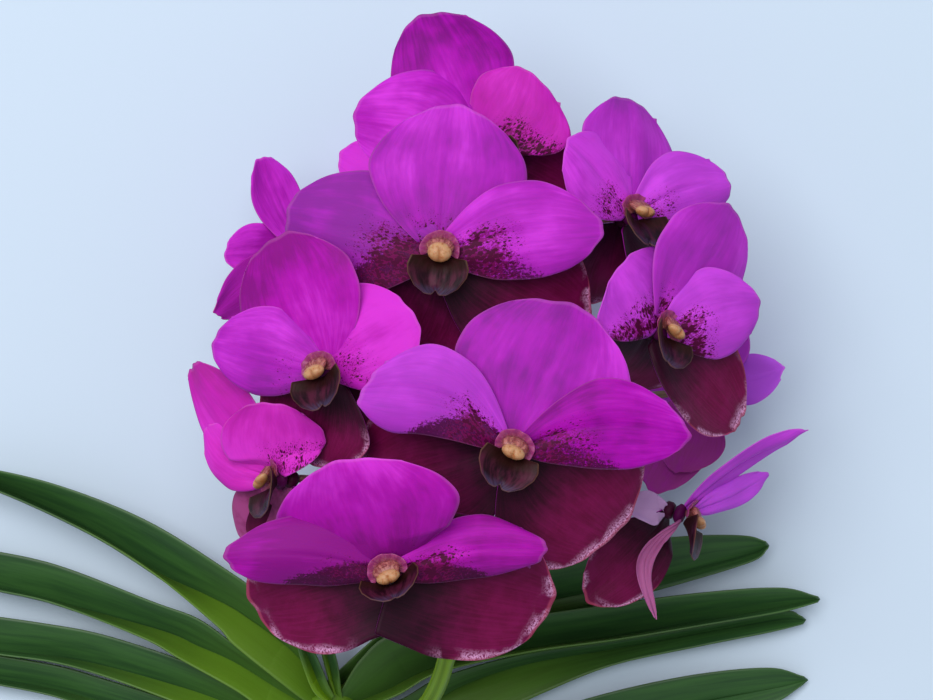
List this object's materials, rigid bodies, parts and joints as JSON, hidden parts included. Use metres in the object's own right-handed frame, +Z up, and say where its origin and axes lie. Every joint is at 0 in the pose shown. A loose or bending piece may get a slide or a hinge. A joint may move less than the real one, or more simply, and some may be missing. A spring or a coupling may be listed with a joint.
{
  "type": "cut vanda orchid",
  "caption": "Spike of flat-faced magenta orchid blooms with maroon lower sepals, on its leafy shoot of keeled strap leaves, cut and lying down as a decoration.",
  "frame": {"origin": "middle of the flat spot under the shoot's stem, on the surface that the orchid lies on", "axes": "+Z up, out of the front of the blooms; +Y up the flower spike; +X to the right from above"},
  "size_m": [0.2944, 0.2491, 0.1448],
  "materials": {
    "petals": "velvety magenta, finely streaked",
    "lateral_sepals": "velvety dark maroon with a pale rim",
    "lip": "waxy blackish violet",
    "column": "waxy cream orange",
    "flower_stem": "smooth yellow green",
    "leafy_shoot": "smooth yellow green",
    "leaves": "leathery dark green, paler at the base"
  },
  "bodies": {
    "root": {"top_petals": "petals", "top_lateral_sepals": "lateral_sepals", "top_column": "column", "top_lip": "lip", "upper_front_petals": "petals", "upper_front_lateral_sepals": "lateral_sepals", "upper_front_column": "column", "upper_front_lip": "lip", "upper_left_petals": "petals", "upper_left_lateral_sepals": "lateral_sepals", "upper_left_column": "column", "upper_left_lip": "lip", "upper_right_petals": "petals", "upper_right_lateral_sepals": "lateral_sepals", "upper_right_column": "column", "upper_right_lip": "lip", "middle_right_petals": "petals", "middle_right_lateral_sepals": "lateral_sepals", "middle_right_column": "column", "middle_right_lip": "lip", "middle_front_petals": "petals", "middle_front_lateral_sepals": "lateral_sepals", "middle_front_column": "column", "middle_front_lip": "lip", "lower_left_petals": "petals", "lower_left_lateral_sepals": "lateral_sepals", "lower_left_column": "column", "lower_left_lip": "lip", "lower_front_petals": "petals", "lower_front_lateral_sepals": "lateral_sepals", "lower_front_column": "column", "lower_front_lip": "lip", "lower_right_petals": "petals", "lower_right_lateral_sepals": "lateral_sepals", "lower_right_column": "column", "lower_right_lip": "lip", "back_left_petals": "petals", "back_left_lateral_sepals": "lateral_sepals", "back_left_column": "column", "back_left_lip": "lip", "back_right_petals": "petals", "back_right_lateral_sepals": "lateral_sepals", "back_right_column": "column", "back_right_lip": "lip", "back_upper_petals": "petals", "back_upper_lateral_sepals": "lateral_sepals", "back_upper_column": "column", "back_upper_lip": "lip", "flower_stem": "flower_stem", "leafy_shoot": "leafy_shoot", "leaf_left_1": "leaves", "leaf_left_2": "leaves", "leaf_left_3": "leaves", "leaf_left_4": "leaves", "leaf_right_1": "leaves", "leaf_right_2": "leaves", "leaf_right_3": "leaves", "leaf_right_4": "leaves", "leaf_young_1": "leaves", "leaf_young_2": "leaves"}
  },
  "joints": []
}
